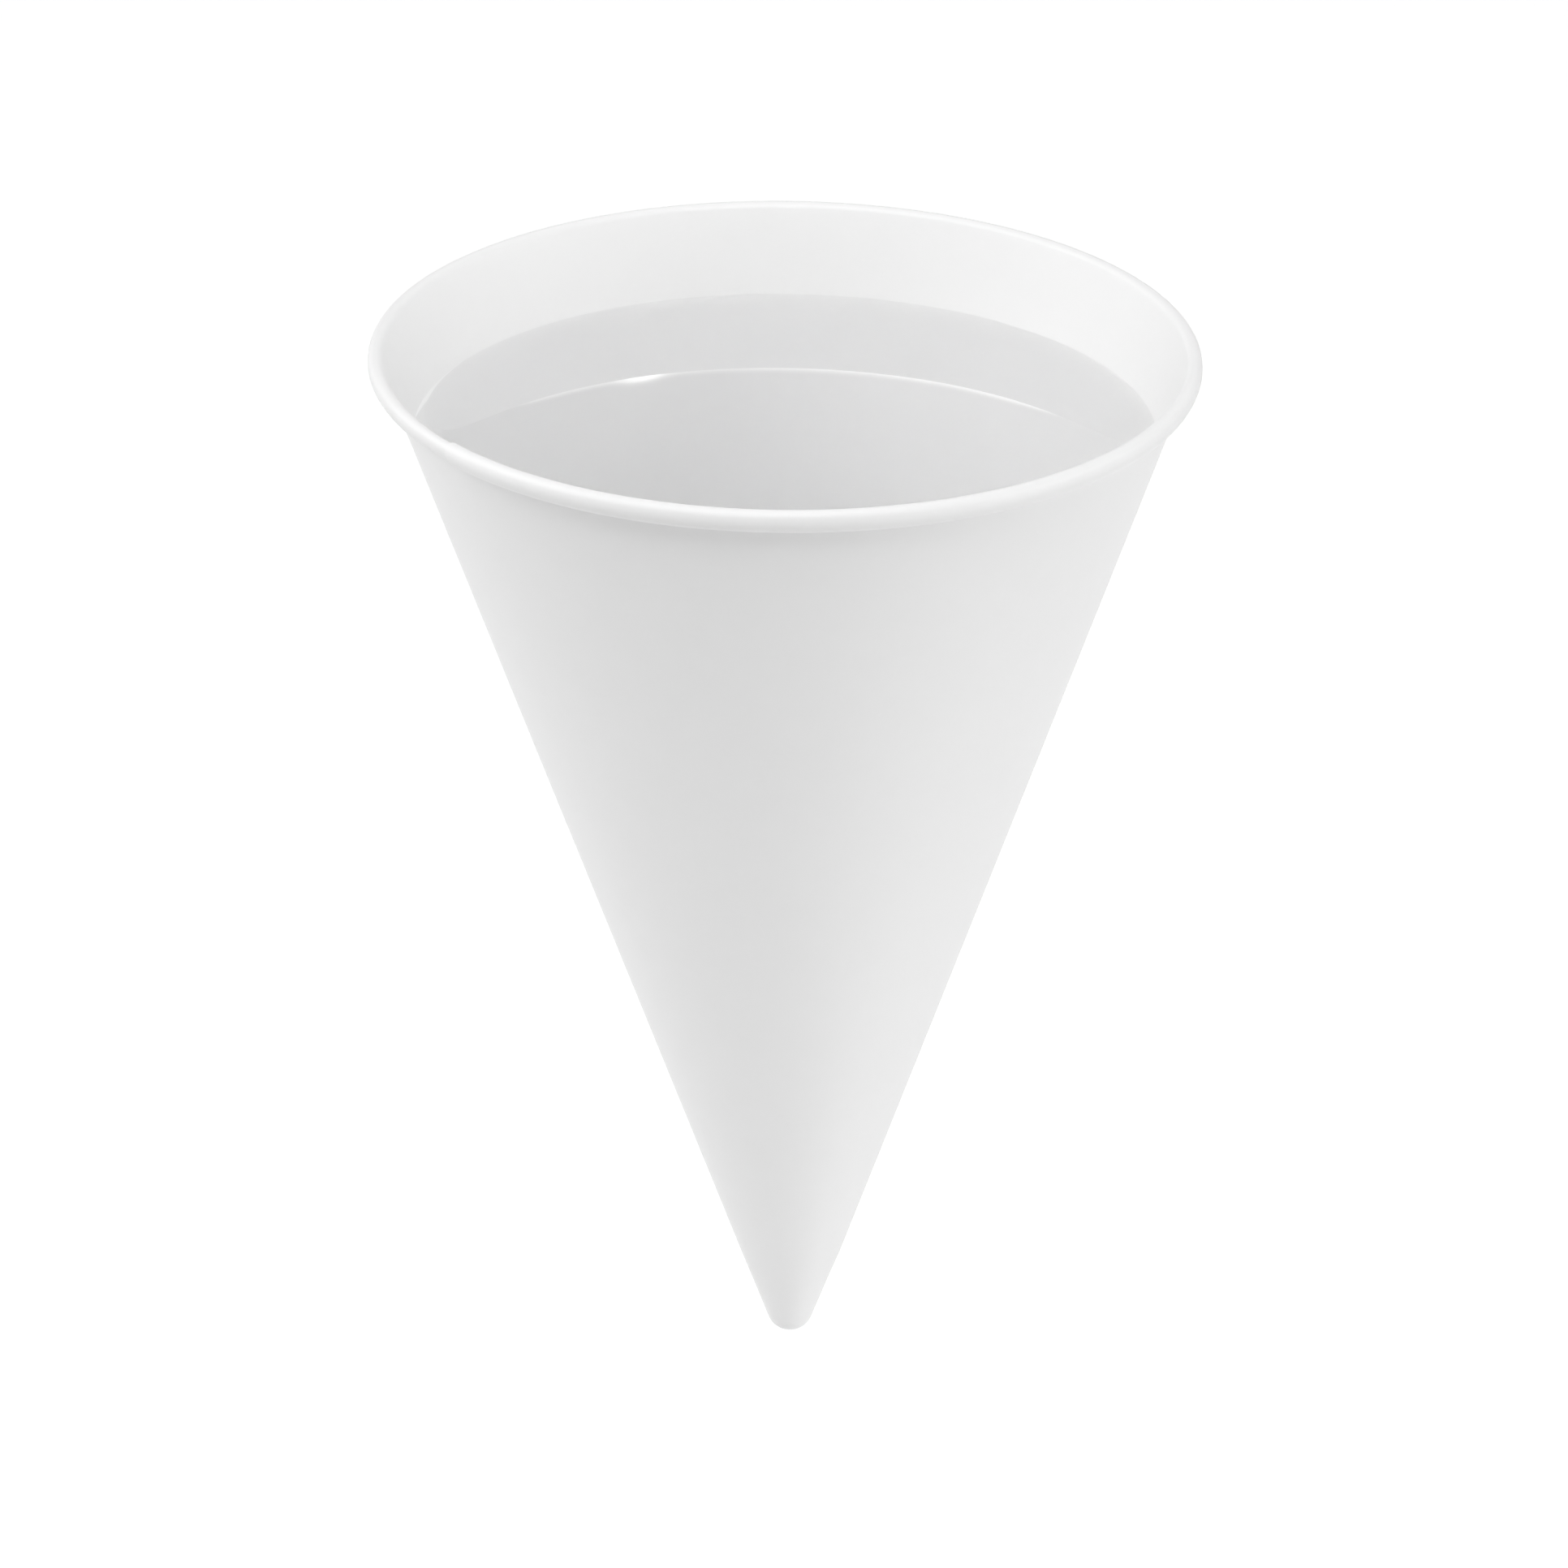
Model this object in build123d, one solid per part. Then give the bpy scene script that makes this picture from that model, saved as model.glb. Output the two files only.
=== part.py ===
from build123d import *
import os
from math import ceil, cos, radians, sin, tan

# A cone drinking cup, wound from one sheet of paper that goes round it nearly one and a half times,
# with its top edge rolled outwards into a hollow bead, and the water that fills it to just under
# the bead. Millimetres. +Z is up and the cup's axis is the Z axis. Z = 0 is the seat: the underside
# of the bead, where a holder's ring carries the cup. -Y is the front. The front wall is the doubled
# one: the sheet starts inside it at the left, and ends outside it past the right.

# Cone
rim_diameter = 74.0          # over the bead
cone_half_angle = 20.0       # degrees, between the axis and the wall
paper_thickness = 0.2
tip_radius = 2.1             # outside of the blunt point
tip_thickness = 1.0          # layers of paper that pile up in the point

# Bead: an upright oval, pressed against the wall
bead_width = 1.5
bead_height = 2.1
flank_half_turn = 30.0       # degrees of the flat flank, each side of its middle
shown_flat_turn = 22.0       # degrees: most that one flat of a bend turns, where it shows
hidden_flat_turn = 40.0      # and on the side that faces into the bead
tuck_clearance = 0.1         # between the doubled wall and the tucked edge
tuck_length = 0.45           # straight end of the sheet, inside the bead

# Lap: the sheet's two radial edges, and the wall that is doubled between them
inner_edge_azimuth = -144.0  # degrees from +X: the edge that shows inside
lap_angle = 150.0            # degrees of doubled wall, as far as the edge that shows outside
ramp_angle = 30.0            # degrees over which the sheet climbs onto its own start
ramp_toe_angle = 3.0         # degrees left out where the ramp is too thin to be paper

# Water
water_clearance = 0.25       # to the paper, so that faceted copies of the two never cross
water_below_rim = 8.5        # flat surface to the top of the bead
meniscus_rise = 0.6          # climb of the surface at the wall
meniscus_slope = 20.0        # degrees, at the wall
meniscus_flat_turn = 7.0     # degrees: most that one flat of its curve turns


def along(heading):
    """Unit vector of a heading: degrees from straight up, turning outwards."""
    return Vector(sin(radians(heading)), 0, cos(radians(heading)))


def beside(heading):
    """Unit vector to the right of a heading: away from the axis on the wall."""
    return Vector(cos(radians(heading)), 0, -sin(radians(heading)))


def route_corners(start, heading, moves, offset, widest_flat):
    """Corners of a route in the XZ plane, moved to its right by offset.

    A move is ("run", length) or ("turn", radius, degrees), to the right, or to the left where both
    are negative. A turn is drawn as flats that each turn by widest_flat degrees at most, with
    their corners on its arc.
    """
    corners = [start + beside(heading) * offset]
    point = start
    for move in moves:
        if move[0] == "run":
            point = point + along(heading) * move[1]
            corners.append(point + beside(heading) * offset)
        else:
            radius, turn = move[1], move[2]
            centre = point + beside(heading) * radius
            flats = ceil(abs(turn) / widest_flat)
            for flat in range(1, flats + 1):
                spoke = beside(heading + turn * flat / flats)
                corners.append(centre - spoke * (radius - offset))
            heading += turn
            point = centre - beside(heading) * radius
    return corners


def cup_side(start, moves, offset):
    """Side of the sheet that faces into the cup, and shows all round the bead."""
    return route_corners(start, cone_half_angle, moves, offset, shown_flat_turn)


def back_side(start, moves, offset):
    """Side of the sheet that faces out of the cup, and into the bead."""
    return route_corners(start, cone_half_angle, moves, offset, hidden_flat_turn)


def joined(corners):
    """Straight edges from each corner to the next."""
    return [Edge.make_line(a, b) for a, b in zip(corners, corners[1:])]


def outline_face(corners):
    """Face inside a closed outline of straight edges."""
    return Face(Wire(joined([*corners, corners[0]])))


def bead_radii():
    """Radii of the bead's top, flank and bottom arcs, along the middle of the paper."""
    width = bead_width - paper_thickness
    height = bead_height - paper_thickness
    across = 1 + cos(radians(flank_half_turn))
    bulge = 1 - cos(radians(flank_half_turn))
    lean = sin(radians(flank_half_turn))
    tuck_offset = 2 * paper_thickness + tuck_clearance
    shrink = tuck_offset / across
    # width = across * top + bulge * flank, and
    # height = (1 - lean) * (top + bottom) + 2 * lean * flank, with bottom = top - shrink
    reach = height + (1 - lean) * shrink
    top = (2 * lean * width - bulge * reach) / (2 * lean * across - 2 * (1 - lean) * bulge)
    flank = (width - across * top) / bulge
    return top, flank, top - shrink


top_radius, flank_radius, bottom_radius = bead_radii()
top_turn = 180 - flank_half_turn
bead_moves = [
    ("turn", top_radius, top_turn),
    ("turn", flank_radius, 2 * flank_half_turn),
    ("turn", bottom_radius, top_turn),
    ("run", tuck_length),
]
half_paper = paper_thickness / 2

# The bead is drawn once at the origin, to find where the wall has to end under it
loose_bead = cup_side(Vector(0, 0, 0), bead_moves, -half_paper)
bead_reach = max(corner.X for corner in loose_bead)
bead_drop = min(corner.Z for corner in loose_bead)
wall_top = Vector(rim_diameter / 2 - bead_reach, 0, -bead_drop)
rim_top_z = wall_top.Z + max(corner.Z for corner in loose_bead)

slope = radians(cone_half_angle)
apex_to_ball = 1 / sin(slope) - 1     # apex to the bottom of a ball of radius 1 in the cone


def surface_apex(offset):
    """Height at which the wall's face, offset from the middle of the paper, meets the axis."""
    point = wall_top + beside(cone_half_angle) * offset
    return point.Z - point.X / tan(slope)


outer_apex_z = surface_apex(half_paper)
inner_apex_z = surface_apex(-half_paper)
tip_z = outer_apex_z + tip_radius * apex_to_ball
cavity_bottom_z = tip_z + tip_thickness
cavity_tip_radius = (cavity_bottom_z - inner_apex_z) / apex_to_ball


def ball_tangent(bottom_z, radius):
    """Point where a cone touches the ball of this radius that rounds its tip."""
    return Vector(radius * cos(slope), 0, bottom_z + radius - radius * sin(slope))


def ball_arc(bottom_z, radius):
    """Arc from the axis up to the cone."""
    half = radians(90 - cone_half_angle) / 2
    middle = Vector(radius * sin(half), 0, bottom_z + radius - radius * cos(half))
    return Edge.make_three_point_arc(Vector(0, 0, bottom_z), middle, ball_tangent(bottom_z, radius))


outer_tangent = ball_tangent(tip_z, tip_radius)
inner_tangent = ball_tangent(cavity_bottom_z, cavity_tip_radius)
wall_start = inner_tangent + beside(cone_half_angle) * half_paper
wall_length = (wall_top - wall_start).length
sheet_moves = [("run", wall_length), *bead_moves]


def sector(first_azimuth, sweep):
    """Slice of space round the axis below the seat, from one azimuth through a sweep in degrees."""
    blank = Cylinder(rim_diameter, -tip_z, arc_size=sweep, align=None)
    return Pos(0, 0, tip_z) * Rot(0, 0, first_azimuth) * blank


def wound_body():
    """Wall, bead and point, as if the sheet met itself without a lap."""
    outside = back_side(wall_start, sheet_moves, half_paper)
    inside = cup_side(wall_start, sheet_moves, -half_paper)
    outside[0] = outer_tangent
    edges = [
        ball_arc(tip_z, tip_radius),
        *joined(outside + inside[::-1]),
        ball_arc(cavity_bottom_z, cavity_tip_radius),
        Edge.make_line(Vector(0, 0, tip_z), Vector(0, 0, cavity_bottom_z)),
    ]
    return revolve(Face(Wire(edges)), Axis.Z, 360)


def lap_layer():
    """The sheet's second time round, over the wall and on inside the bead as far as the flank."""
    lap_moves = sheet_moves[:3]
    bedded = back_side(wall_start, lap_moves, 0)
    shown = back_side(wall_start, lap_moves, half_paper + paper_thickness)
    section = outline_face(bedded + shown[::-1])
    return Rot(0, 0, inner_edge_azimuth) * revolve(section, Axis.Z, lap_angle)


# The climb onto the lap is a cone like the wall, on an axis moved sideways by climb_shift
climb = paper_thickness / cos(slope)
climb_shift = climb / (2 * sin(radians(ramp_angle / 2)))
climb_axis_azimuth = radians(inner_edge_azimuth - ramp_angle / 2 + 90)
climb_move = Vector(cos(climb_axis_azimuth), sin(climb_axis_azimuth), 0) * climb_shift
climb_growth = climb / 2


def ramp_sector():
    """Where the sheet climbs from the plain wall to the lap."""
    sweep = ramp_angle - ramp_toe_angle
    return sector(inner_edge_azimuth - sweep, sweep)


def ramp_layer():
    """Paper that the climb adds outside the wall, up to the seat."""
    wall_moves = sheet_moves[:1]
    bedded = back_side(wall_start, wall_moves, 0)
    shown = back_side(wall_start, wall_moves, half_paper)
    section = Pos(climb_growth, 0, 0) * outline_face(bedded + shown[::-1])
    return (Pos(climb_move) * revolve(section, Axis.Z, 360)) & ramp_sector()


def ramp_groove():
    """Space that the climb leaves inside the wall, up to the seat."""
    foot, head = cup_side(wall_start, sheet_moves[:1], -half_paper)
    growth = Vector(climb_growth, 0, 0)
    section = outline_face([Vector(0, 0, foot.Z), foot + growth, head + growth, Vector(0, 0, head.Z)])
    return (Pos(climb_move) * revolve(section, Axis.Z, 360)) & ramp_sector()


def make_cup():
    """The whole paper cup, one sheet."""
    return (wound_body() + lap_layer() + ramp_layer() - ramp_groove()).clean()


def make_water():
    """Water that fills the cone to under the rim, with its surface climbing at the wall."""
    level_z = rim_top_z - water_below_rim
    edge_z = level_z + meniscus_rise
    edge_radius = (edge_z - surface_apex(-half_paper - water_clearance)) * tan(slope)
    ball_radius = cavity_tip_radius - water_clearance
    bottom_z = cavity_bottom_z + water_clearance
    climb_radius = meniscus_rise / (1 - cos(radians(meniscus_slope)))
    flat_radius = edge_radius - climb_radius * sin(radians(meniscus_slope))
    meniscus = [("turn", -climb_radius, -meniscus_slope)]
    surface = route_corners(Vector(flat_radius, 0, level_z), 90, meniscus, 0, meniscus_flat_turn)
    side_foot = ball_tangent(bottom_z, ball_radius)
    axis_foot = Vector(0, 0, bottom_z)
    edges = [*joined([axis_foot, Vector(0, 0, level_z), *surface, side_foot]), ball_arc(bottom_z, ball_radius)]
    return revolve(Face(Wire(edges)), Axis.Z, 360)


os.makedirs("parts", exist_ok=True)
cup = make_cup()
water = make_water()
for name, piece in (("cup", cup), ("water", water)):
    piece.label = name
    export_step(piece, f"parts/{name}.step")

print(f"bead radii {top_radius:.3f} {flank_radius:.3f} {bottom_radius:.3f}")
print(f"wall meets bead at r {wall_top.X:.3f} z {wall_top.Z:.3f}, rim top z {rim_top_z:.3f}, tip z {tip_z:.3f}")
print(f"overall height {rim_top_z - tip_z:.2f}")
print(f"cup {cup.volume:.1f} mm3, water {water.volume:.0f} mm3, water level z {rim_top_z - water_below_rim:.3f}")
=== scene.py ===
from math import ceil, cos, exp, pi, radians, sin, tan, tau

import bpy
from mathutils import Matrix, Vector


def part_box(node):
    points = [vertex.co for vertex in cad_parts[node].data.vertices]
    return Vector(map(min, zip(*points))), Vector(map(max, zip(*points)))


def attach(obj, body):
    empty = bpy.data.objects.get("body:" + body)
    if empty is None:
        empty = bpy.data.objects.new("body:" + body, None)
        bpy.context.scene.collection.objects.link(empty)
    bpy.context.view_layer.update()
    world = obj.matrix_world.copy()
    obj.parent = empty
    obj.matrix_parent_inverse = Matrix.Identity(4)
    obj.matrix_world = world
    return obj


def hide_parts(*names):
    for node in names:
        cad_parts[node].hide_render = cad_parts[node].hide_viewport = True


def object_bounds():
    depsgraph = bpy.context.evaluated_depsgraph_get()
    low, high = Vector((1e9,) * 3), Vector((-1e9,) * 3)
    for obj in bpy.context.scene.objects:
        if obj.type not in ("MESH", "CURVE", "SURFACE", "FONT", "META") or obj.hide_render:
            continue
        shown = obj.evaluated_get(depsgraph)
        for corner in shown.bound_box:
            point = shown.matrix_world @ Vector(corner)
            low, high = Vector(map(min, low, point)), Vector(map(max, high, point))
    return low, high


bl_info = {
    "name": "Paper Cone Cup",
    "version": (1, 0, 0),
    "blender": (4, 5, 0),
    "location": "3D View > Sidebar > Cone Cup",
    "description": "Winds a rolled-rim paper cone cup, fills it with water and lights it",
    "category": "Add Mesh",
}

# Everything is in metres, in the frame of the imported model: +Z is up along the cup's axis, Z = 0
# is the underside of the rolled rim, and -Y is the front.
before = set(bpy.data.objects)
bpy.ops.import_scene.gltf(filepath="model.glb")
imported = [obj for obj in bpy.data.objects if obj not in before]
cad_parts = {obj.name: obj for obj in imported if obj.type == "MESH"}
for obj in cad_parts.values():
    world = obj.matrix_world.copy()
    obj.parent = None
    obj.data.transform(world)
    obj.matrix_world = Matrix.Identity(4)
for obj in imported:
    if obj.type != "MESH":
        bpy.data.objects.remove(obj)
cad_low, cad_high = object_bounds()
MM = 0.001


# Colour and nodes

def hex_linear(code):
    """Linear red, green and blue of an sRGB hex colour."""
    channels = [int(code[i:i + 2], 16) / 255 for i in (1, 3, 5)]
    return tuple(c / 12.92 if c <= 0.04045 else ((c + 0.055) / 1.055) ** 2.4 for c in channels)


def add_node(tree, kind, inputs=(), **settings):
    """Adds a node. The inputs are a list in the node's order or a dictionary by socket name, and
    each is a value, an output socket to link, or None to leave it."""
    node = tree.nodes.new(kind)
    for name, value in settings.items():
        setattr(node, name, value)
    pairs = inputs.items() if isinstance(inputs, dict) else enumerate(inputs)
    for key, given in pairs:
        if isinstance(given, bpy.types.NodeSocket):
            tree.links.new(given, node.inputs[key])
        elif given is not None:
            node.inputs[key].default_value = given
    return node


def new_material(name):
    """An empty material and its tree."""
    material = bpy.data.materials.new(name)
    material.use_nodes = True
    material.node_tree.nodes.clear()
    return material, material.node_tree


# Settings

class ConeCupSettings(bpy.types.PropertyGroup):
    cone_half_angle: bpy.props.FloatProperty(
        name="Cone half angle", description="Between the axis and the wall",
        default=radians(20), subtype="ANGLE")
    paper_thickness: bpy.props.FloatProperty(
        name="Paper thickness", description="One layer of the sheet",
        default=0.2 * MM, subtype="DISTANCE", unit="LENGTH", precision=5)
    tip_radius: bpy.props.FloatProperty(
        name="Tip radius", description="Outside of the blunt point",
        default=2.1 * MM, subtype="DISTANCE", unit="LENGTH", precision=5)
    tip_thickness: bpy.props.FloatProperty(
        name="Tip thickness", description="Layers of paper that pile up in the point",
        default=1.0 * MM, subtype="DISTANCE", unit="LENGTH", precision=5)
    bead_width: bpy.props.FloatProperty(
        name="Bead width", description="Rolled rim, from the wall outwards",
        default=1.5 * MM, subtype="DISTANCE", unit="LENGTH", precision=5)
    bead_height: bpy.props.FloatProperty(
        name="Bead height", description="Rolled rim, from its underside to its top",
        default=2.1 * MM, subtype="DISTANCE", unit="LENGTH", precision=5)
    flank_half_turn: bpy.props.FloatProperty(
        name="Flank half turn", description="The bead's flat flank, each side of its middle",
        default=radians(30), subtype="ANGLE")
    tuck_clearance: bpy.props.FloatProperty(
        name="Tuck clearance", description="Between the doubled wall and the tucked edge",
        default=0.1 * MM, subtype="DISTANCE", unit="LENGTH", precision=5)
    tuck_length: bpy.props.FloatProperty(
        name="Tuck length", description="Straight end of the sheet, inside the bead",
        default=0.45 * MM, subtype="DISTANCE", unit="LENGTH", precision=5)
    inner_edge: bpy.props.FloatProperty(
        name="Inner edge", description="Azimuth from +X of the sheet's edge that shows inside",
        default=radians(-144), subtype="ANGLE")
    lap_angle: bpy.props.FloatProperty(
        name="Lap angle", description="Doubled wall, from the inner edge to the outer edge",
        default=radians(150), subtype="ANGLE")
    climb_angle: bpy.props.FloatProperty(
        name="Climb angle", description="Over which the sheet climbs onto its own start",
        default=radians(30), subtype="ANGLE")
    tip_fade: bpy.props.FloatProperty(
        name="Tip fade", description="Height over which the lap melts into the pressed point",
        default=6 * MM, subtype="DISTANCE", unit="LENGTH", precision=4)
    rim_lean: bpy.props.FloatProperty(
        name="Rim lean", description="How far the bead runs askew to the axis, low on the right",
        default=radians(0.7), subtype="ANGLE")
    waviness: bpy.props.FloatProperty(
        name="Waviness", description="How far the sheet strays from a true cone",
        default=0.04 * MM, subtype="DISTANCE", unit="LENGTH", precision=5)
    wave_size: bpy.props.FloatProperty(
        name="Wave size", description="Width of one wave of the sheet",
        default=18 * MM, subtype="DISTANCE", unit="LENGTH", precision=4)
    columns: bpy.props.IntProperty(
        name="Columns", description="Steps round the cup", default=360, min=24)
    paper_colour: bpy.props.FloatVectorProperty(
        name="Paper colour", description="Bleached paper", subtype="COLOR",
        default=hex_linear("#EEEEEE"), min=0, max=1)


class WaterSettings(bpy.types.PropertyGroup):
    below_rim: bpy.props.FloatProperty(
        name="Below rim", description="Flat middle of the surface to the top of the bead",
        default=8.46 * MM, subtype="DISTANCE", unit="LENGTH", precision=4)
    meniscus_rise: bpy.props.FloatProperty(
        name="Meniscus rise", description="Climb of the surface at the wall",
        default=0.4 * MM, subtype="DISTANCE", unit="LENGTH", precision=5)
    meniscus_reach: bpy.props.FloatProperty(
        name="Meniscus reach", description="Distance over which the climb falls to a third",
        default=2.0 * MM, subtype="DISTANCE", unit="LENGTH", precision=5)
    swell: bpy.props.FloatProperty(
        name="Swell",
        description="Strength of the shallow trough that runs round inside the meniscus",
        default=1.5 * MM, subtype="DISTANCE", unit="LENGTH", precision=5)
    swell_reach: bpy.props.FloatProperty(
        name="Swell reach", description="Distance over which the trough falls to a third",
        default=2.8 * MM, subtype="DISTANCE", unit="LENGTH", precision=5)
    level_lean: bpy.props.FloatProperty(
        name="Level lean",
        description="How far the surface runs askew to the axis, low on the right, because the cup "
        "hangs a hair off plumb",
        default=radians(0.8), subtype="ANGLE")
    wetting: bpy.props.FloatProperty(
        name="Wetting", description="How far the water's side reaches into the paper's surface",
        default=0.04 * MM, subtype="DISTANCE", unit="LENGTH", precision=5)
    water_colour: bpy.props.FloatVectorProperty(
        name="Water colour", description="White after a way in and out of the water",
        subtype="COLOR", default=hex_linear("#F4F4F4"), min=0, max=1)


class StageSettings(bpy.types.PropertyGroup):
    floor_drop: bpy.props.FloatProperty(
        name="Floor drop", description="From the cup's tip down to the floor",
        default=130 * MM, subtype="DISTANCE", unit="LENGTH")
    floor_size: bpy.props.FloatProperty(
        name="Floor size", description="Side of the square floor",
        default=16.0, subtype="DISTANCE", unit="LENGTH")
    floor_colour: bpy.props.FloatVectorProperty(
        name="Floor colour", description="Pale studio floor", subtype="COLOR",
        default=hex_linear("#E0E0E0"), min=0, max=1)
    panel_distance: bpy.props.FloatProperty(
        name="Panel distance", description="From the point the camera looks at to the panel",
        default=1.0, subtype="DISTANCE", unit="LENGTH")
    panel_size: bpy.props.FloatProperty(
        name="Panel size", description="Side of the panel that the water mirrors",
        default=0.2, subtype="DISTANCE", unit="LENGTH")
    panel_white: bpy.props.FloatProperty(
        name="Panel white", description="Share of the room's white, on the left of the panel",
        default=0.56, min=0, max=1)
    panel_edge: bpy.props.FloatProperty(
        name="Panel edge", description="Right of its middle, where the panel starts to grow white",
        default=-4 * MM, subtype="DISTANCE", unit="LENGTH", precision=4)
    panel_fade: bpy.props.FloatProperty(
        name="Panel fade", description="Over which the panel grows to the room's white",
        default=32 * MM, subtype="DISTANCE", unit="LENGTH", precision=4)
    camera_distance: bpy.props.FloatProperty(
        name="Camera distance", description="From the point it looks at",
        default=2.0, subtype="DISTANCE", unit="LENGTH")
    camera_elevation: bpy.props.FloatProperty(
        name="Camera elevation", description="Above the horizon",
        default=radians(23.25), subtype="ANGLE")
    camera_roll: bpy.props.FloatProperty(
        name="Camera roll", description="Turn about the line of sight",
        default=radians(-0.18), subtype="ANGLE")
    camera_aim: bpy.props.FloatVectorProperty(
        name="Camera aim", description="Point in the middle of the picture",
        default=(-0.378 * MM, 0, -39.655 * MM), subtype="TRANSLATION", unit="LENGTH", precision=5)
    camera_lens: bpy.props.FloatProperty(
        name="Camera lens", description="Focal length in millimetres, on a 36 mm sensor",
        default=516.6, unit="CAMERA")
    lamp_level: bpy.props.FloatProperty(
        name="Lamp level", description="All the lights together", default=1.0, min=0)
    floor_glow: bpy.props.FloatProperty(
        name="Floor glow",
        description="White added to the floor where it is seen, and not where it lights",
        default=0.6, min=0, max=1)


# The sheet in section, in the XZ plane

def along(heading):
    """Unit vector of a heading: the angle from straight up, turning outwards."""
    return Vector((sin(heading), 0, cos(heading)))


def beside(heading):
    """Unit vector to the right of a heading: away from the axis on the wall."""
    return Vector((cos(heading), 0, -sin(heading)))


BEND_STEP = radians(8)       # most that a bend turns between two points of the section
RUN_STEP = 3 * MM            # longest straight step on the wall
CLEAR_SHARE = 0.97           # of a layer that the second layer lies out where the first one ends


def sheet_points(start, heading, moves):
    """(point, heading, share of the lap) along the middle of the sheet. A move is ("run", length,
    lap) or ("turn", radius, angle to the right, lap)."""
    points = []
    for kind, size, *turn, lap in moves:
        points.append((start, heading, lap))
        if kind == "run":
            steps = ceil(size / RUN_STEP)
            points += [(start + along(heading) * size * i / steps, heading, lap)
                       for i in range(1, steps + 1)]
        else:
            centre = start + beside(heading) * size
            steps = ceil(turn[0] / BEND_STEP)
            for i in range(1, steps + 1):
                now = heading + turn[0] * i / steps
                points.append((centre - beside(now) * size, now, lap))
        start, heading = points[-1][:2]
    return points


def bead_moves(cup):
    """The bead's top, flank and bottom arcs along the middle of the paper, and its tucked end. The
    second layer of the lap goes on inside it as far as the flank."""
    width = cup.bead_width - cup.paper_thickness
    height = cup.bead_height - cup.paper_thickness
    across = 1 + cos(cup.flank_half_turn)
    bulge = 1 - cos(cup.flank_half_turn)
    lean = sin(cup.flank_half_turn)
    shrink = (2 * cup.paper_thickness + cup.tuck_clearance) / across
    reach = height + (1 - lean) * shrink
    top = (2 * lean * width - bulge * reach) / (2 * lean * across - 2 * (1 - lean) * bulge)
    flank = (width - across * top) / bulge
    turn = pi - cup.flank_half_turn
    return [
        ("turn", top, turn, 1),
        ("turn", flank, 2 * cup.flank_half_turn, 1),
        ("turn", top - shrink, turn, 0),
        ("run", cup.tuck_length, 0),
    ]


class ConeSizes:
    """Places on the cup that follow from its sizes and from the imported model's box."""

    def __init__(self, cup):
        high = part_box("cup")[1]
        self.slope = cup.cone_half_angle
        self.half = cup.paper_thickness / 2
        # The bead is drawn once at the origin, to find where the wall has to end under it
        loose = [p - beside(h) * self.half
                 for p, h, lap in sheet_points(Vector(), self.slope, bead_moves(cup))]
        self.wall_top = Vector((
            high.x - max(p.x for p in loose), 0, high.z - max(p.z for p in loose)))
        self.ball_share = 1 / sin(self.slope) - 1    # apex to ball bottom, for a ball of radius 1
        self.tip_z = self.apex(self.half) + cup.tip_radius * self.ball_share
        self.cavity_z = self.tip_z + cup.tip_thickness
        self.cavity_radius = (self.cavity_z - self.apex(-self.half)) / self.ball_share
        self.rim_z = high.z
        self.rim_radius = high.x

    def apex(self, offset):
        """Height at which the wall's face, offset from the middle of the paper, meets the axis."""
        point = self.wall_top + beside(self.slope) * offset
        return point.z - point.x / tan(self.slope)

    def inner_radius(self, z, offset):
        """Radius of the wall's inner face at a height, moved outwards by offset."""
        return (z - self.apex(offset - self.half)) * tan(self.slope)

    def ball_points(self, bottom_z, radius):
        """Points from the axis up a ball that rounds the cone's tip, until it touches the cone."""
        sweep = pi / 2 - self.slope
        steps = ceil(sweep / BEND_STEP)
        angles = [sweep * i / steps for i in range(steps + 1)]
        return [Vector((radius * sin(a), 0, bottom_z + radius - radius * cos(a))) for a in angles]


# Beside its point and its sideways direction, a point of a section has these values: how much of
# the second layer and of the climb onto it lies under it, and how far a lean moves it down and
# inwards
SHARES = ("lap_share", "climb_share", "lean_share", "slide")


def section_object(name, rows):
    """A line of points for the winding tree, with a value of each attribute for every point."""
    mesh = bpy.data.meshes.new(name)
    mesh.from_pydata([row[0] for row in rows], [(i, i + 1) for i in range(len(rows) - 1)], [])
    mesh.attributes.new("sideways", "FLOAT_VECTOR", "POINT").data.foreach_set(
        "vector", [value for row in rows for value in row[1]])
    for column, attribute in enumerate(SHARES, 2):
        mesh.attributes.new(attribute, "FLOAT", "POINT").data.foreach_set(
            "value", [row[column] for row in rows])
    piece = bpy.data.objects.new(name, mesh)
    bpy.context.scene.collection.objects.link(piece)
    return piece


# Winding a section round the axis

WINDING_INPUTS = (
    ("Thickness", "NodeSocketFloat"),
    ("Inner Edge", "NodeSocketFloat"),
    ("Lap Angle", "NodeSocketFloat"),
    ("Climb Angle", "NodeSocketFloat"),
    ("Columns", "NodeSocketInt"),
    ("Waviness", "NodeSocketFloat"),
    ("Wave Size", "NodeSocketFloat"),
    ("Lean", "NodeSocketFloat"),
    ("High Side", "NodeSocketFloat"),
    ("Tip Height", "NodeSocketFloat"),
    ("Rim Height", "NodeSocketFloat"),
    ("Material", "NodeSocketMaterial"),
)

MERGE_DISTANCE = 0.001 * MM  # within which the closing column joins the first one
CREASE_ANGLE = radians(35)   # an edge that turns by more is shown sharp
# Columns beyond the steps round the cup: one ends each of the two walls, and one closes the ring
SEAM_COLUMNS = 3.0

# The column and the row of the grid that a corner is in
GRID_SUMS = (
    ("column", "DIVIDE", "Index", "Point Count"),
    ("column", "FLOOR", "column"),
    ("row", "FLOORED_MODULO", "Index", "Point Count"),
)

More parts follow.
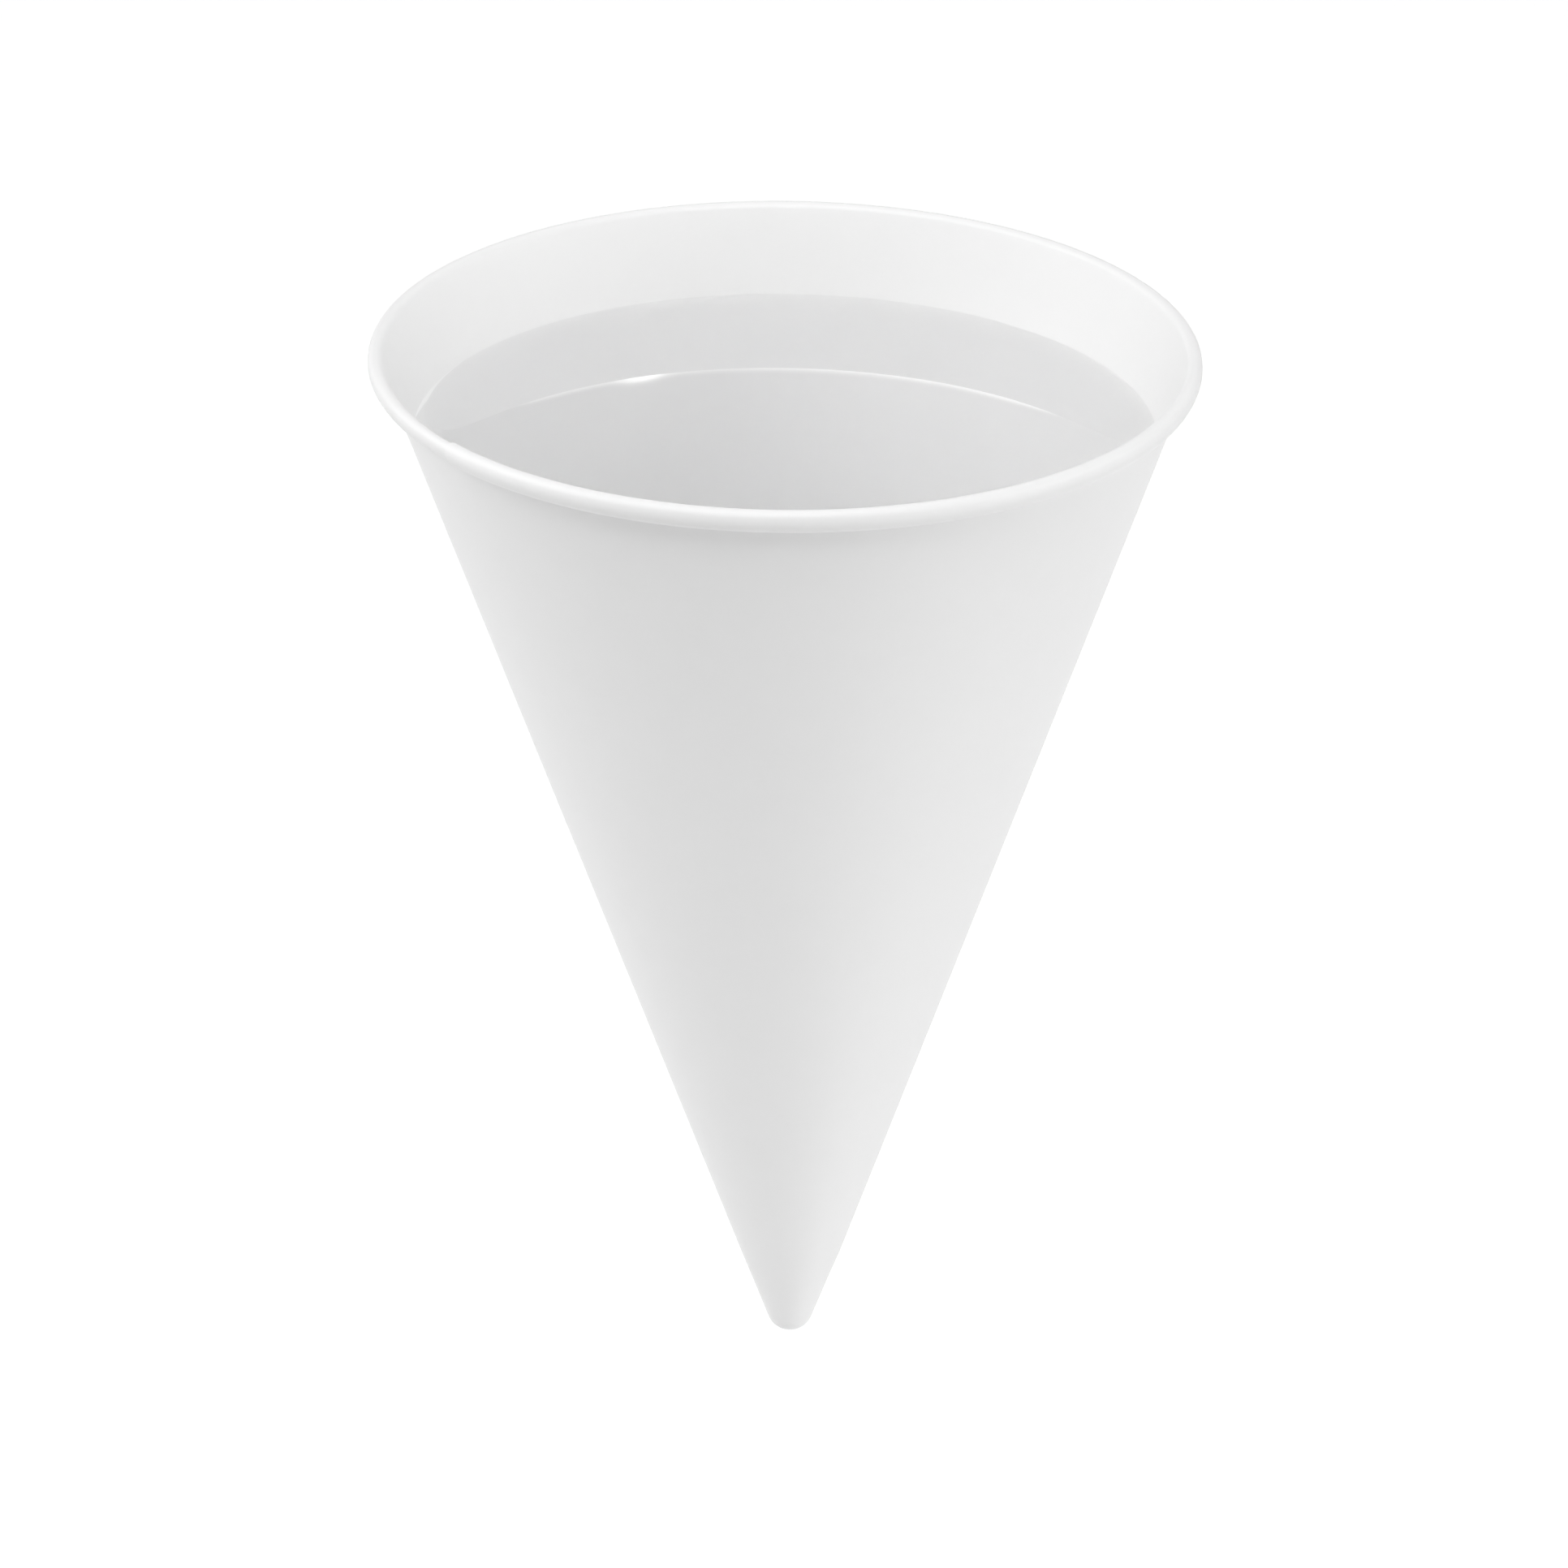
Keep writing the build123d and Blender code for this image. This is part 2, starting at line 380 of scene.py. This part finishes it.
# Where a corner lies round the axis, and how far its layer of the sheet lies out. The columns run
# over the doubled wall, then over the plain one, and the last one closes the ring.
WINDING_SUMS = (
    ("doubled", "DIVIDE", "Lap Angle", tau),
    ("doubled", "MULTIPLY", "doubled", "Columns"),
    ("doubled", "ROUND", "doubled"),
    ("single", "SUBTRACT", "Columns", "doubled"),
    ("over_lap", "MINIMUM", "column", "doubled"),
    ("over_lap", "DIVIDE", "over_lap", "doubled"),
    ("over_lap", "MULTIPLY", "over_lap", "Lap Angle"),
    ("past_lap", "SUBTRACT", "column", "doubled"),
    ("past_lap", "SUBTRACT", "past_lap", 1.0),
    ("past_lap", "MAXIMUM", "past_lap", 0.0),
    ("past_lap", "MINIMUM", "past_lap", "single"),
    ("past_lap", "DIVIDE", "past_lap", "single"),
    ("plain_angle", "SUBTRACT", tau, "Lap Angle"),
    ("past_lap", "MULTIPLY", "past_lap", "plain_angle"),
    ("turned", "ADD", "over_lap", "past_lap"),
    ("azimuth", "ADD", "turned", "Inner Edge"),
    ("lap_end", "ADD", "doubled", 0.5),
    ("in_lap", "LESS_THAN", "column", "lap_end"),
    ("last", "ADD", "Columns", SEAM_COLUMNS - 1.5),
    ("closing", "GREATER_THAN", "column", "last"),
    ("lapped", "MAXIMUM", "in_lap", "closing"),
    ("plain", "SUBTRACT", 1.0, "lapped"),
    ("climb_start", "SUBTRACT", tau, "Climb Angle"),
    ("climbed", "SUBTRACT", "turned", "climb_start"),
    ("climbed", "DIVIDE", "climbed", "Climb Angle"),
    ("climbed", "MAXIMUM", "climbed", 0.0),
    ("climbed", "MULTIPLY", "climbed", "plain"),
    ("from_climb", "MULTIPLY", "climbed", "climb_share"),
    ("from_lap", "MULTIPLY", "lapped", "lap_share"),
    ("layer", "MAXIMUM", "from_climb", "from_lap"),
    ("layer", "MULTIPLY", "layer", "Thickness"),
)

# The piece's own shape: a sheet that is not quite smooth, and a bead or a water level that leans,
# low on the right, and slides along the wall. They grow from nothing at the tip, and the waves only
# ever draw the wall inwards.
SHAPE_SUMS = (
    ("height", "SUBTRACT", "Rim Height", "Tip Height"),
    ("level", "SUBTRACT", "Z", "Tip Height"),
    ("level", "DIVIDE", "level", "height"),
    ("inwards", "MULTIPLY", "wave", "Waviness"),
    ("inwards", "MULTIPLY", "inwards", "level"),
    ("radius", "SUBTRACT", "X", "inwards"),
    ("cosine", "COSINE", "azimuth"),
    ("drop", "MULTIPLY", "X", "cosine"),
    ("drop", "ADD", "drop", "High Side"),
    ("drop", "MULTIPLY", "drop", "Lean"),
    ("drop", "MULTIPLY", "drop", "lean_share"),
    ("z", "SUBTRACT", "Z", "drop"),
    ("slid", "MULTIPLY", "drop", "slide"),
    ("radius", "SUBTRACT", "radius", "slid"),
    ("radius", "MAXIMUM", "radius", 0.0),
    ("sine", "SINE", "azimuth"),
    ("x", "MULTIPLY", "radius", "cosine"),
    ("y", "MULTIPLY", "radius", "sine"),
)


def work_out(tree, sums, values):
    """Adds a Math node for each sum, whose operands are numbers or the names of earlier values."""
    for name, operation, *operands in sums:
        given = [values.get(operand, operand) for operand in operands]
        values[name] = add_node(tree, "ShaderNodeMath", given, operation=operation).outputs[0]


def winding_tree():
    """Winds a section of the sheet, or of what lies against it, round the axis into a closed
    solid."""
    tree = bpy.data.node_groups.new("Wound Sheet", "GeometryNodeTree")
    tree.interface.new_socket("Section", in_out="INPUT", socket_type="NodeSocketGeometry")
    for name, kind in WINDING_INPUTS:
        tree.interface.new_socket(name, in_out="INPUT", socket_type=kind)
    tree.interface.new_socket("Solid", in_out="OUTPUT", socket_type="NodeSocketGeometry")
    group = add_node(tree, "NodeGroupInput")
    section = group.outputs["Section"]
    values = {name: group.outputs[name] for name, kind in WINDING_INPUTS}

    size = add_node(tree, "GeometryNodeAttributeDomainSize", [section])
    values["Point Count"] = size.outputs["Point Count"]
    values["Index"] = add_node(tree, "GeometryNodeInputIndex").outputs[0]
    columns = add_node(
        tree, "ShaderNodeMath", [values["Columns"], SEAM_COLUMNS], operation="ADD")
    grid = add_node(tree, "GeometryNodeMeshGrid", {
        "Vertices X": columns.outputs[0], "Vertices Y": values["Point Count"]})

    work_out(tree, GRID_SUMS, values)
    for name in ("position", "sideways", *SHARES):
        kind = "FLOAT" if name in SHARES else "FLOAT_VECTOR"
        read = add_node(tree, "GeometryNodeInputNamedAttribute", {"Name": name}, data_type=kind)
        values[name] = add_node(
            tree, "GeometryNodeSampleIndex",
            {"Geometry": section, "Value": read.outputs["Attribute"], "Index": values["row"]},
            data_type=kind, domain="POINT").outputs[0]
    work_out(tree, WINDING_SUMS, values)

    moved = add_node(tree, "ShaderNodeVectorMath", [
        values["sideways"], values["layer"], values["position"]], operation="MULTIPLY_ADD")
    split = add_node(tree, "ShaderNodeSeparateXYZ", [moved.outputs[0]])
    values["X"], values["Z"] = split.outputs["X"], split.outputs["Z"]

    turned = add_node(tree, "ShaderNodeVectorRotate", {
        "Vector": values["position"], "Angle": values["azimuth"]}, rotation_type="Z_AXIS")
    scaled = add_node(tree, "ShaderNodeMath", [1.0, values["Wave Size"]], operation="DIVIDE")
    noise = add_node(tree, "ShaderNodeTexNoise", {
        "Vector": turned.outputs[0], "Scale": scaled.outputs[0], "Detail": 1.0})
    values["wave"] = noise.outputs[0]
    work_out(tree, SHAPE_SUMS, values)

    place = add_node(tree, "ShaderNodeCombineXYZ", [values["x"], values["y"], values["z"]])
    wound = add_node(tree, "GeometryNodeSetPosition", {
        "Geometry": grid.outputs["Mesh"], "Position": place.outputs[0]})
    closed = add_node(tree, "GeometryNodeMergeByDistance", {
        "Geometry": wound.outputs[0], "Distance": MERGE_DISTANCE})
    smooth = add_node(tree, "GeometryNodeSetShadeSmooth", {"Geometry": closed.outputs[0]})
    angle = add_node(tree, "GeometryNodeInputMeshEdgeAngle")
    crease = add_node(tree, "FunctionNodeCompare", [angle.outputs[0], CREASE_ANGLE],
                      data_type="FLOAT", operation="GREATER_THAN")
    sharp = add_node(tree, "GeometryNodeStoreNamedAttribute", {
        "Geometry": smooth.outputs[0], "Name": "sharp_edge", "Value": crease.outputs[0]},
        data_type="BOOLEAN", domain="EDGE")
    real = add_node(tree, "GeometryNodeRealizeInstances", [sharp.outputs[0]])
    finish = add_node(tree, "GeometryNodeSetMaterial", {
        "Geometry": real.outputs[0], "Material": values["Material"]})
    add_node(tree, "NodeGroupOutput", [finish.outputs[0]])
    return tree


def wind(section, cup, sizes, material, **changed):
    """Winds a section into a plain mesh piece, and takes the section's place."""
    tree = bpy.data.node_groups.get("Wound Sheet") or winding_tree()
    given = {
        "Thickness": cup.paper_thickness, "Inner Edge": cup.inner_edge, "Lap Angle": cup.lap_angle,
        "Climb Angle": cup.climb_angle, "Columns": cup.columns,
        "Waviness": cup.waviness, "Wave Size": cup.wave_size,
        "Lean": cup.rim_lean, "High Side": sizes.rim_radius,
        "Tip Height": sizes.tip_z, "Rim Height": sizes.rim_z, "Material": material, **changed,
    }
    modifier = section.modifiers.new("Wound Sheet", "NODES")
    modifier.node_group = tree
    for item in tree.interface.items_tree:
        if item.item_type == "SOCKET" and item.name in given:
            modifier[item.identifier] = given[item.name]
    depsgraph = bpy.context.evaluated_depsgraph_get()
    solid = bpy.data.meshes.new_from_object(section.evaluated_get(depsgraph))
    name, line = section.name, section.data
    section.modifiers.clear()
    section.data = solid
    bpy.data.meshes.remove(line)
    solid.name = name
    return section


# Paper and water

CLOUD_SIZE = 2.5 * MM        # of the flocs that fibres make in the sheet
CLOUD_SHADE = 0.985          # of the paper's colour that is left in a cloud
FIBRE_SIZE = 0.25 * MM       # some ten times a real fibre's width, which is too fine to show
TOOTH_HEIGHT = 0.01 * MM


def paper_material(cup):
    """Bleached cup paper, calendered smooth: a soft white with hardly a sheen, with the faint
    cloudiness of its fibres and a tooth that only shows where light grazes it."""
    material, tree = new_material("bleached_cup_paper")
    coords = add_node(tree, "ShaderNodeTexCoord").outputs["Object"]
    cloud = add_node(tree, "ShaderNodeTexNoise", {
        "Vector": coords, "Scale": 1 / CLOUD_SIZE, "Detail": 3.0, "Roughness": 0.6})
    tint = add_node(tree, "ShaderNodeMix", {
        "Factor": cloud.outputs[0], "A": (*[c * CLOUD_SHADE for c in cup.paper_colour], 1),
        "B": (*cup.paper_colour, 1)}, data_type="RGBA")
    fibres = add_node(tree, "ShaderNodeTexNoise", {
        "Vector": coords, "Scale": 1 / FIBRE_SIZE, "Detail": 2.0, "Roughness": 0.5})
    tooth = add_node(tree, "ShaderNodeBump", {
        "Strength": 0.15, "Distance": TOOTH_HEIGHT, "Height": fibres.outputs[0]})
    surface = add_node(tree, "ShaderNodeBsdfPrincipled", {
        "Base Color": tint.outputs["Result"], "Roughness": 0.55, "IOR": 1.5,
        "Normal": tooth.outputs[0]})
    add_node(tree, "ShaderNodeOutputMaterial", {"Surface": surface.outputs[0]})
    return material


def water_material(water):
    """Clear still water: its own refraction, and a mirror at low angles."""
    material, tree = new_material("clear_water")
    surface = add_node(tree, "ShaderNodeBsdfPrincipled", {
        "Base Color": (*water.water_colour, 1), "Roughness": 0.0, "IOR": 1.333,
        "Transmission Weight": 1.0})
    add_node(tree, "ShaderNodeOutputMaterial", {"Surface": surface.outputs[0]})
    return material


# Pieces

class WindCone(bpy.types.Operator):
    """Wind the paper cone with its lap, its blunt tip and its rolled rim"""

    bl_idname = "cone_cup.wind_cone"
    bl_label = "Wind Paper Cone"

    def execute(self, context):
        cup = context.scene.cone_cup
        sizes = ConeSizes(cup)
        outer_ball = sizes.ball_points(sizes.tip_z, cup.tip_radius)
        inner_ball = sizes.ball_points(sizes.cavity_z, sizes.cavity_radius)
        start = inner_ball[-1] + beside(sizes.slope) * sizes.half
        wall = ("run", (sizes.wall_top - start).length, 1)
        sheet = sheet_points(start, sizes.slope, [wall, *bead_moves(cup)])

        def fade(point):
            """Share of the lap that is left above the pressed tip."""
            share = min(max((point.z - start.z) / cup.tip_fade, 0), 1)
            return share * share * (3 - 2 * share)

        def raised(point):
            """Share of the rim's lean at the height of a point, and how far it slides inwards."""
            return (point.z - sizes.tip_z) / (sizes.rim_z - sizes.tip_z), tan(sizes.slope)

        def tip_row(point):
            """Row of a point of the pressed tip, which has no layers."""
            return (point, Vector(), 0, 0, *raised(point))

        def sheet_row(side, point, heading, lap):
            """Row of a point of the sheet. Side is 1 for the outer side, which the lap lies over,
            and -1 for the inner one. Under the bead the second layer stays a hair clear of the
            first one's back."""
            out, left = beside(heading), fade(point)
            return (point + out * (side * sizes.half), out, lap * left if side > 0 else 0,
                    left * (1 if lap else CLEAR_SHARE), *raised(point))

        rows = [tip_row(point) for point in outer_ball]
        rows += [sheet_row(1, *place) for place in sheet[1:]]
        rows += [sheet_row(-1, *place) for place in reversed(sheet)]
        rows += [tip_row(point) for point in reversed(inner_ball[:-1])]
        cone = wind(section_object("paper_cone", rows), cup, sizes, paper_material(cup))
        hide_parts("cup")
        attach(cone, "root")
        return {"FINISHED"}


SURFACE_RINGS = 56           # rings of the water's surface
RING_CROWDING = 2.2          # power of a ring's number: the rings are closest at the wall
SHORE = 2 * MM               # width of the surface that follows the lap and the lean of the wall
CLIMB_STEPS = 2              # steps above the foot over which the side starts to follow the lap


class PourWater(bpy.types.Operator):
    """Pour the water, with its surface climbing a little at the paper"""

    bl_idname = "cone_cup.pour_water"
    bl_label = "Pour Water"

    def execute(self, context):
        cup, water = context.scene.cone_cup, context.scene.cone_cup_water
        sizes = ConeSizes(cup)
        level = sizes.rim_z - water.below_rim
        edge_z = level + water.meniscus_rise
        edge = sizes.inner_radius(edge_z, water.wetting)
        side = sizes.ball_points(sizes.cavity_z, sizes.cavity_radius)
        out = beside(sizes.slope)
        slide = tan(sizes.slope)
        rows = [(point, Vector(), 0, 0, 0, 0) for point in side[:-1]]
        foot = side[-1] + out * water.wetting
        head = Vector((edge, 0, edge_z))
        steps = ceil((head - foot).length / RUN_STEP)
        rows += [(foot.lerp(head, i / steps), out, 0, min(i / CLIMB_STEPS, 1), i / steps, slide)
                 for i in range(steps + 1)]
        climb = water.meniscus_rise + water.swell
        for ring in range(1, SURFACE_RINGS + 1):
            inwards = edge * (ring / SURFACE_RINGS) ** RING_CROWDING
            z = (level + climb * exp(-inwards / water.meniscus_reach)
                 - water.swell * exp(-inwards / water.swell_reach))
            near = max(0, 1 - inwards / SHORE)
            point = Vector((edge - inwards, 0, z))
            rows.append((point, Vector((1, 0, 0)), 0, near, 1, slide * near))
        body = wind(section_object("poured_water", rows), cup, sizes, water_material(water),
                    **{"Lean": water.level_lean, "High Side": 0.0})
        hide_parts("water")
        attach(body, "root")
        return {"FINISHED"}


# Stage

# Lights round the cup: azimuth from +X and elevation in degrees, distance from the point the
# camera looks at and side in metres, power in watts. The three cards are small and near, and light
# the tip.
LIGHTS = (
    ("top_softbox", -90, 60, 1.1, 0.6, 7.5),
    ("left_softbox", 180, 35, 1.1, 0.6, 4.8),
    ("front_right_softbox", -30, 15, 1.1, 0.6, 3.3),
    ("right_softbox", 0, 15, 1.1, 0.6, 3.05),
    ("front_left_softbox", -150, 35, 1.1, 0.6, 1.77),
    ("back_right_softbox", 60, 35, 1.1, 0.6, 1.16),
    ("left_low_softbox", 180, 0, 1.1, 0.6, 1.04),
    ("back_left_softbox", 150, 15, 1.1, 0.6, 0.88),
    ("right_card", -43, -40, 0.232, 0.12, 0.057),
    ("left_card", -137, -40, 0.232, 0.12, 0.048),
    ("front_card", -90, -41, 0.227, 0.12, 0.023),
)

# The panel that the water mirrors has a strip of light across it, which paints the bright line
# along the mirrored rim as a painted reflection, and a spot of light on the strip, which paints the
# glint on that line as a painted highlight. X runs leftwards and Y up from the panel's middle. A
# reach is where the light has fallen to a third.
PAINTED_LINE_Y = 3.6 * MM
PAINTED_LINE_REACH = 1.0 * MM
PAINTED_LINE_GLOW = 2.2             # on top of the panel's own white, and in shares of it
PAINTED_GLINT_X = 9.7 * MM
PAINTED_GLINT_REACH = 2.8 * MM        # to its sides
PAINTED_GLINT_FALL = 0.4              # share of the strip's fall, above and below
PAINTED_GLINT_GLOW = 5.0              # in shares of the room's white

# Glow of the panel at a place on it: its own white, with the painted line of the strip and the
# painted glint of the spot on top
PANEL_SUMS = (
    ("above", "SUBTRACT", "Y", PAINTED_LINE_Y),
    ("above", "DIVIDE", "above", PAINTED_LINE_REACH),
    ("above", "MULTIPLY", "above", "above"),
    ("strip", "MULTIPLY", "above", -1.0),
    ("strip", "EXPONENT", "strip"),
    ("strip", "MULTIPLY_ADD", "strip", PAINTED_LINE_GLOW, 1.0),
    ("aside", "SUBTRACT", "X", PAINTED_GLINT_X),
    ("aside", "DIVIDE", "aside", PAINTED_GLINT_REACH),
    ("aside", "MULTIPLY", "aside", "aside"),
    ("spot", "MULTIPLY_ADD", "above", PAINTED_GLINT_FALL, "aside"),
    ("spot", "MULTIPLY", "spot", -1.0),
    ("spot", "EXPONENT", "spot"),
    ("spot", "MULTIPLY", "spot", PAINTED_GLINT_GLOW),
    ("glow", "MULTIPLY_ADD", "strip", "white", "spot"),
)

SENSOR_WIDTH = 36            # millimetres
CLIP_RANGE = 0.1, 100        # metres from the camera


def seen_rays(tree):
    """1 for rays that look straight, in a mirror or through water, and 0 for those that light."""
    rays = add_node(tree, "ShaderNodeLightPath").outputs
    mirrored = add_node(tree, "ShaderNodeMath", [
        rays["Is Camera Ray"], rays["Is Glossy Ray"]], operation="MAXIMUM")
    return add_node(tree, "ShaderNodeMath", [
        mirrored.outputs[0], rays["Is Transmission Ray"]], operation="MAXIMUM").outputs[0]


def direction(azimuth, elevation):
    """Unit vector of an azimuth from +X and an elevation."""
    level = cos(elevation)
    return Vector((cos(azimuth) * level, sin(azimuth) * level, sin(elevation)))


def hang(thing, aim, way, distance):
    """Hangs a lamp or a panel at a distance from the aim, and turns its underside to the aim."""
    thing.location = aim + way * distance
    thing.rotation_euler = way.to_track_quat("Z", "Y").to_euler()


def stage_square(name, side, material):
    """A flat square of the stage, level and at the origin."""
    half = side / 2
    mesh = bpy.data.meshes.new(name)
    corners = [(-half, -half, 0), (half, -half, 0), (half, half, 0), (-half, half, 0)]
    mesh.from_pydata(corners, [], [(0, 1, 2, 3)])
    mesh.materials.append(material)
    square = bpy.data.objects.new(name, mesh)
    bpy.context.scene.collection.objects.link(square)
    return square


class SetStage(bpy.types.Operator):
    """Set the floor, the mirrored panel, the room's light, the soft lights and the camera"""

    bl_idname = "cone_cup.set_stage"
    bl_label = "Set Stage"

    def execute(self, context):
        scene, stage = context.scene, context.scene.cone_cup_stage
        aim = Vector(stage.camera_aim)
        self.lay_floor(stage)
        self.hang_panel(stage, aim)
        self.light_room(scene)
        self.hang_lamps(scene, stage, aim)
        self.place_camera(scene, stage, aim)
        scene.view_settings.view_transform = "Standard"
        return {"FINISHED"}

    def lay_floor(self, stage):
        """Lays a pale floor under the cup, which is white where it is seen."""
        material, tree = new_material("pale_floor")
        matt = add_node(tree, "ShaderNodeBsdfDiffuse", {"Color": (*stage.floor_colour, 1)})
        strength = add_node(tree, "ShaderNodeMath", [
            seen_rays(tree), stage.floor_glow], operation="MULTIPLY")
        glow = add_node(tree, "ShaderNodeEmission", {
            "Color": (1, 1, 1, 1), "Strength": strength.outputs[0]})
        both = add_node(tree, "ShaderNodeAddShader", [matt.outputs[0], glow.outputs[0]])
        add_node(tree, "ShaderNodeOutputMaterial", {"Surface": both.outputs[0]})
        floor = stage_square("studio_floor", stage.floor_size, material)
        floor.location.z = cad_low.z - stage.floor_drop

    def hang_panel(self, stage, aim):
        """Hangs a panel behind the cup and out of the picture, for the water to mirror. It grows
        to the white of the room towards the right. It lights nothing and shows only in mirrors,
        where its strip and spot are a painted reflection of a bright line along the rim and a
        painted glint."""
        material, tree = new_material("mirrored_panel_painted_glint")
        coords = add_node(tree, "ShaderNodeTexCoord").outputs["Object"]
        split = add_node(tree, "ShaderNodeSeparateXYZ", [coords]).outputs
        white = add_node(tree, "ShaderNodeMapRange", {
            "Value": split["X"], "From Min": -stage.panel_edge - stage.panel_fade,
            "From Max": -stage.panel_edge, "To Min": 1.0, "To Max": stage.panel_white},
            interpolation_type="SMOOTHSTEP")
        values = {"X": split["X"], "Y": split["Y"], "white": white.outputs[0]}
        work_out(tree, PANEL_SUMS, values)
        glow = add_node(tree, "ShaderNodeEmission", {
            "Color": (1, 1, 1, 1), "Strength": values["glow"]})
        add_node(tree, "ShaderNodeOutputMaterial", {"Surface": glow.outputs[0]})
        panel = stage_square("mirrored_panel_painted_glint", stage.panel_size, material)
        hang(panel, aim, direction(pi / 2, stage.camera_elevation), stage.panel_distance)
        # Hidden from the camera and from light that falls on the cup, so that the panel lights
        # nothing and only shows in mirrors, with its painted line and painted glint.
        panel.visible_camera = panel.visible_diffuse = False

    def light_room(self, scene):
        """Makes the room white where it is seen, and dark where it would light the cup."""
        world = bpy.data.worlds.new("studio_room")
        world.use_nodes = True
        tree = world.node_tree
        tree.nodes.clear()
        back = add_node(tree, "ShaderNodeBackground", {
            "Color": (1, 1, 1, 1), "Strength": seen_rays(tree)})
        add_node(tree, "ShaderNodeOutputWorld", {"Surface": back.outputs[0]})
        scene.world = world

    def hang_lamps(self, scene, stage, aim):
        """Hangs the soft lights round the cup."""
        for name, azimuth, elevation, distance, side, watts in LIGHTS:
            light = bpy.data.lights.new(name, "AREA")
            light.size = side
            light.energy = watts * stage.lamp_level
            lamp = bpy.data.objects.new(name, light)
            hang(lamp, aim, direction(radians(azimuth), radians(elevation)), distance)
            lamp.visible_camera = False
            scene.collection.objects.link(lamp)

    def place_camera(self, scene, stage, aim):
        """Puts the camera at the photo's viewing angle, with its slight roll."""
        tilt, roll = stage.camera_elevation, stage.camera_roll
        back = Vector((0, -cos(tilt), sin(tilt)))
        right, up = Vector((1, 0, 0)), Vector((0, sin(tilt), cos(tilt)))
        right, up = right * cos(roll) + up * sin(roll), up * cos(roll) - right * sin(roll)
        data = bpy.data.cameras.new("studio_camera")
        data.sensor_width = SENSOR_WIDTH
        data.lens = stage.camera_lens
        data.clip_start, data.clip_end = CLIP_RANGE
        camera = bpy.data.objects.new("studio_camera", data)
        turn = Matrix((right, up, back)).transposed().to_4x4()
        camera.matrix_world = Matrix.Translation(aim + back * stage.camera_distance) @ turn
        scene.collection.objects.link(camera)
        scene.camera = camera


class ConeCupPanel(bpy.types.Panel):
    """Sizes, colours and steps of the cone cup"""

    bl_idname = "VIEW3D_PT_cone_cup"
    bl_label = "Cone Cup"
    bl_space_type = "VIEW_3D"
    bl_region_type = "UI"
    bl_category = "Cone Cup"

    def draw(self, context):
        scene = context.scene
        for step, settings in (
            (WindCone, scene.cone_cup), (PourWater, scene.cone_cup_water),
            (SetStage, scene.cone_cup_stage),
        ):
            box = self.layout.box()
            box.operator(step.bl_idname)
            for name in settings.__annotations__:
                box.prop(settings, name)


CLASSES = (
    ConeCupSettings, WaterSettings, StageSettings, WindCone, PourWater, SetStage, ConeCupPanel,
)
SETTINGS = {
    "cone_cup": ConeCupSettings, "cone_cup_water": WaterSettings, "cone_cup_stage": StageSettings,
}


def register():
    for kind in CLASSES:
        bpy.utils.register_class(kind)
    for name, kind in SETTINGS.items():
        setattr(bpy.types.Scene, name, bpy.props.PointerProperty(type=kind))


def unregister():
    for name in SETTINGS:
        delattr(bpy.types.Scene, name)
    for kind in reversed(CLASSES):
        bpy.utils.unregister_class(kind)


def main():
    register()
    bpy.ops.cone_cup.wind_cone()
    bpy.ops.cone_cup.pour_water()
    bpy.ops.cone_cup.set_stage()


if __name__ == "__main__":
    main()
